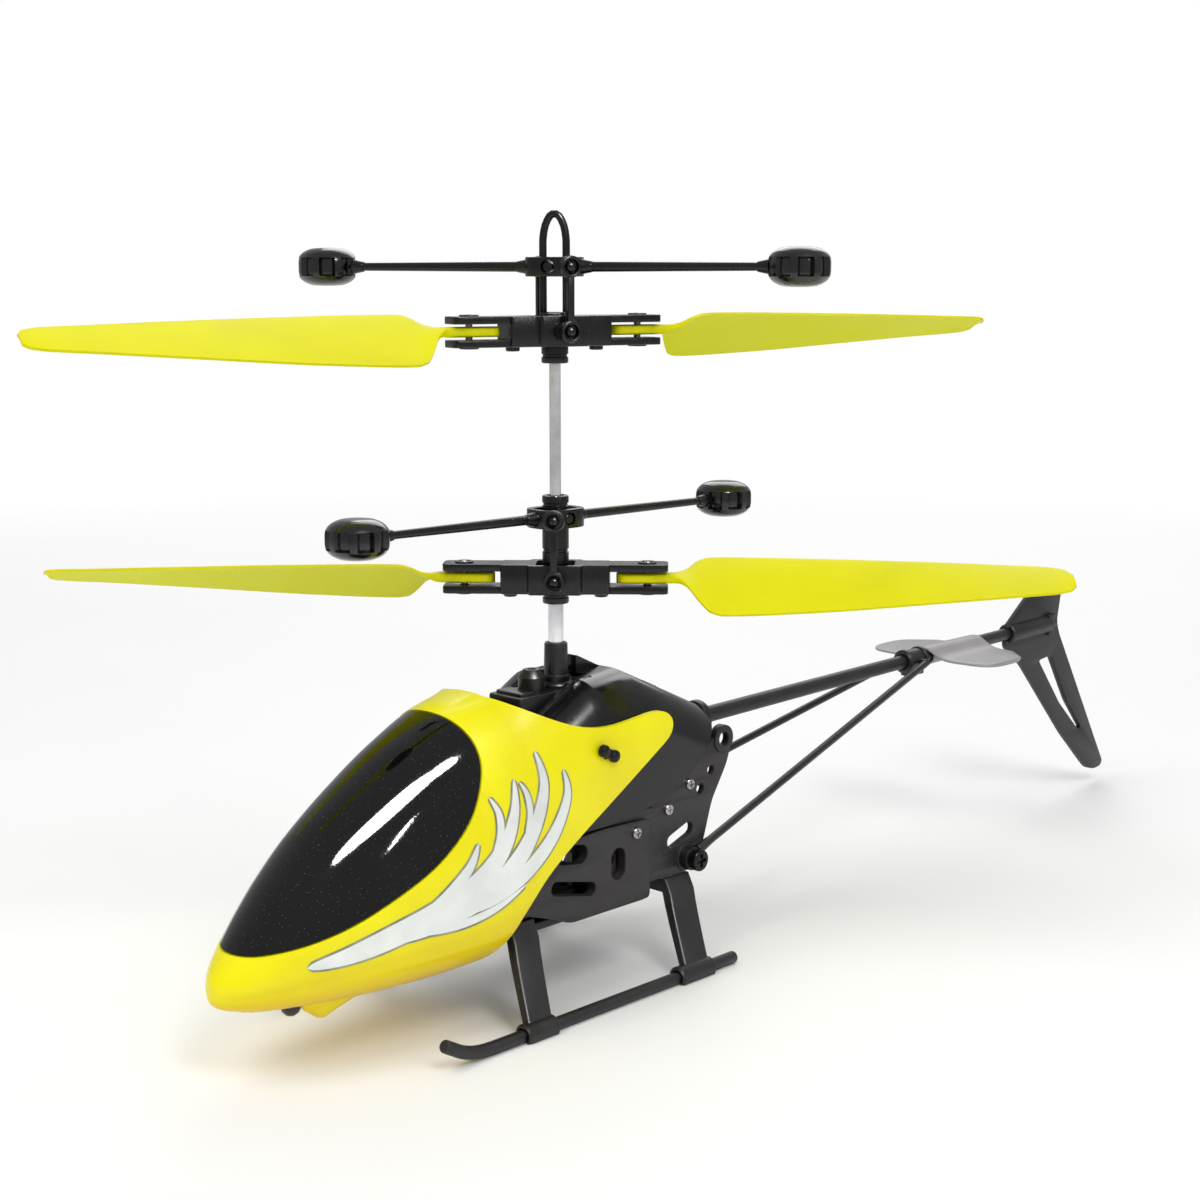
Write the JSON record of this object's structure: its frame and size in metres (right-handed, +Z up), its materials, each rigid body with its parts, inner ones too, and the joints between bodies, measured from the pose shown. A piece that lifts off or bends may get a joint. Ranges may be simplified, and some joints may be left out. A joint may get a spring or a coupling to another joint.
{
  "type": "remote control helicopter",
  "caption": "Palm-size coaxial toy helicopter with contra-rotating rotors, weighted flybars, feathering blade holders, plastic canopy, boom tail and skids.",
  "frame": {"origin": "where the rotor shaft axis meets the flat underside of the belly plate", "axes": "+Z up along the rotor shaft, +X to the nose, +Y to the left side"},
  "size_m": [0.2502, 0.1244, 0.1218],
  "materials": {
    "canopy_yellow": "glossy moulded bright yellow plastic with a silver-white flame graphic on each side",
    "windshield_black": "mirror-gloss black plastic with a fine metallic sparkle",
    "frame_black": "satin black moulded plastic with a slight brown tint",
    "cover_black": "glossy black moulded plastic",
    "landing_gear_black": "satin black nylon",
    "tail_black": "satin black plastic, slightly grey on the flat tail surfaces",
    "screw_black": "blackened steel screw",
    "motor_can": "bright drawn steel can",
    "gear_white": "natural white acetal",
    "battery_foil": "silver foil pouch",
    "circuit_board": "green circuit board with black chips",
    "sensor_lens": "dark red-black infrared lens",
    "shaft_steel": "bright polished steel",
    "rotor_head_black": "semi-gloss black nylon",
    "flybar_weight_black": "gloss black weighted cap with recessed windows",
    "blade_yellow": "semi-gloss flexible yellow plastic, greener underneath",
    "pin_steel": "steel rivet pin"
  },
  "bodies": {
    "airframe": {"canopy_shell": "canopy_yellow", "windshield": "windshield_black", "canopy_stud_left": "screw_black", "canopy_stud_right": "screw_black", "side_frame_left": "frame_black", "side_frame_right": "frame_black", "belly_plate": "frame_black", "upper_cover": "cover_black", "mast_bearing": "frame_black", "motor_plate": "frame_black", "motor_front": "motor_can", "motor_rear": "motor_can", "foot_bearing": "frame_black", "equipment_tray": "frame_black", "battery": "battery_foil", "receiver_board": "circuit_board", "infrared_sensor": "sensor_lens", "charge_socket": "frame_black", "front_leg_arch": "landing_gear_black", "rear_leg_arch": "landing_gear_black", "skid_left": "landing_gear_black", "skid_right": "landing_gear_black", "tail_boom": "tail_black", "boom_socket": "frame_black", "strut_clamp": "tail_black", "tail_strut_left": "tail_black", "tail_strut_right": "tail_black", "strut_screw_left": "screw_black", "strut_screw_right": "screw_black", "tailplane": "tail_black", "tail_fin": "tail_black"},
    "power_switch_slider": {"power_switch": "gear_white"},
    "pinion_front_shaft": {"pinion_front": "gear_white"},
    "pinion_rear_shaft": {"pinion_rear": "gear_white"},
    "lower_rotor": {"lower_hub": "rotor_head_black", "outer_shaft": "shaft_steel", "lower_main_gear": "gear_white"},
    "lower_holder": {"lower_blade_holder": "rotor_head_black", "lower_blade_pin_a": "pin_steel", "lower_blade_pin_b": "pin_steel"},
    "lower_flybar_bar": {"lower_flybar": "rotor_head_black", "lower_weight_a": "flybar_weight_black", "lower_weight_b": "flybar_weight_black"},
    "lower_link_a_rod": {"lower_link_a": "rotor_head_black"},
    "lower_blade_a_body": {"lower_blade_a": "blade_yellow"},
    "lower_link_b_rod": {"lower_link_b": "rotor_head_black"},
    "lower_blade_b_body": {"lower_blade_b": "blade_yellow"},
    "upper_rotor": {"upper_hub": "rotor_head_black", "inner_shaft": "shaft_steel", "upper_main_gear": "gear_white"},
    "upper_holder": {"upper_blade_holder": "rotor_head_black", "upper_blade_pin_a": "pin_steel", "upper_blade_pin_b": "pin_steel"},
    "upper_flybar_bar": {"upper_flybar": "rotor_head_black", "upper_weight_a": "flybar_weight_black", "upper_weight_b": "flybar_weight_black"},
    "upper_link_a_rod": {"upper_link_a": "rotor_head_black"},
    "upper_blade_a_body": {"upper_blade_a": "blade_yellow"},
    "upper_link_b_rod": {"upper_link_b": "rotor_head_black"},
    "upper_blade_b_body": {"upper_blade_b": "blade_yellow"}
  },
  "joints": [
    {"name": "power_switch_slide", "type": "slide", "parent": "airframe", "child": "power_switch_slider", "axis": [0.9759, 0, 0.2182], "range_m": [0, 0.0036]},
    {"name": "pinion_front_spin", "type": "hinge", "parent": "airframe", "child": "pinion_front_shaft", "pos_m": [0.01125, 0, 0.0276], "axis": [0, 0, 1], "continuous": true},
    {"name": "pinion_rear_spin", "type": "hinge", "parent": "airframe", "child": "pinion_rear_shaft", "pos_m": [-0.01125, 0, 0.0234], "axis": [0, 0, 1], "continuous": true},
    {"name": "lower_rotor_spin", "type": "hinge", "parent": "airframe", "child": "lower_rotor", "pos_m": [0, 0, 0.0526], "axis": [0, 0, 1], "continuous": true},
    {"name": "lower_flybar_teeter", "type": "hinge", "parent": "lower_rotor", "child": "lower_flybar_bar", "pos_m": [0, 0, 0.0622], "axis": [0.0523, 0.9986, 0], "range_deg": [-15, 15]},
    {"name": "lower_holder_feather", "type": "hinge", "parent": "lower_rotor", "child": "lower_holder", "pos_m": [0, 0, 0.0526], "axis": [0.6691, -0.7431, 0], "range_deg": [-10.7, 10.7]},
    {"name": "lower_link_a_pivot", "type": "hinge", "parent": "lower_flybar_bar", "child": "lower_link_a_rod", "pos_m": [0.00409, 0.00368, 0.0622], "axis": [0.0523, 0.9986, 0], "range_deg": [-15, 15]},
    {"name": "lower_blade_a_swing", "type": "hinge", "parent": "lower_holder", "child": "lower_blade_a_body", "pos_m": [0.0097, -0.01078, 0.0526], "axis": [0, 0, 1], "range_deg": [-30, 30]},
    {"name": "lower_link_b_pivot", "type": "hinge", "parent": "lower_flybar_bar", "child": "lower_link_b_rod", "pos_m": [-0.00409, -0.00368, 0.0622], "axis": [0.0523, 0.9986, 0], "range_deg": [-15, 15]},
    {"name": "lower_blade_b_swing", "type": "hinge", "parent": "lower_holder", "child": "lower_blade_b_body", "pos_m": [-0.0097, 0.01078, 0.0526], "axis": [0, 0, 1], "range_deg": [-30, 30]},
    {"name": "upper_rotor_spin", "type": "hinge", "parent": "airframe", "child": "upper_rotor", "pos_m": [0, 0, 0.0913], "axis": [0, 0, 1], "continuous": true},
    {"name": "upper_flybar_teeter", "type": "hinge", "parent": "upper_rotor", "child": "upper_flybar_bar", "pos_m": [0, 0, 0.1011], "axis": [0.8988, 0.4384, 0], "range_deg": [-15, 15]},
    {"name": "upper_holder_feather", "type": "hinge", "parent": "upper_rotor", "child": "upper_holder", "pos_m": [0, 0, 0.0913], "axis": [0.9455, -0.3256, 0], "range_deg": [-10.7, 10.7]},
    {"name": "upper_link_a_pivot", "type": "hinge", "parent": "upper_flybar_bar", "child": "upper_link_a_rod", "pos_m": [0.00179, 0.0052, 0.1011], "axis": [0.8988, 0.4384, 0], "range_deg": [-15, 15]},
    {"name": "upper_blade_a_swing", "type": "hinge", "parent": "upper_holder", "child": "upper_blade_a_body", "pos_m": [0.01371, -0.00472, 0.0913], "axis": [0, 0, 1], "range_deg": [-30, 30]},
    {"name": "upper_link_b_pivot", "type": "hinge", "parent": "upper_flybar_bar", "child": "upper_link_b_rod", "pos_m": [-0.00179, -0.0052, 0.1011], "axis": [0.8988, 0.4384, 0], "range_deg": [-15, 15]},
    {"name": "upper_blade_b_swing", "type": "hinge", "parent": "upper_holder", "child": "upper_blade_b_body", "pos_m": [-0.01371, 0.00472, 0.0913], "axis": [0, 0, 1], "range_deg": [-30, 30]}
  ],
  "couplings": [
    {"joint": "pinion_front_spin", "follows": "lower_rotor_spin", "ratio": -4},
    {"joint": "pinion_rear_spin", "follows": "upper_rotor_spin", "ratio": -4},
    {"joint": "lower_holder_feather", "follows": "lower_flybar_teeter", "ratio": -0.7071},
    {"joint": "lower_link_a_pivot", "follows": "lower_flybar_teeter", "ratio": -1},
    {"joint": "lower_link_b_pivot", "follows": "lower_flybar_teeter", "ratio": -1},
    {"joint": "upper_holder_feather", "follows": "upper_flybar_teeter", "ratio": 0.7071},
    {"joint": "upper_link_a_pivot", "follows": "upper_flybar_teeter", "ratio": -1},
    {"joint": "upper_link_b_pivot", "follows": "upper_flybar_teeter", "ratio": -1}
  ]
}
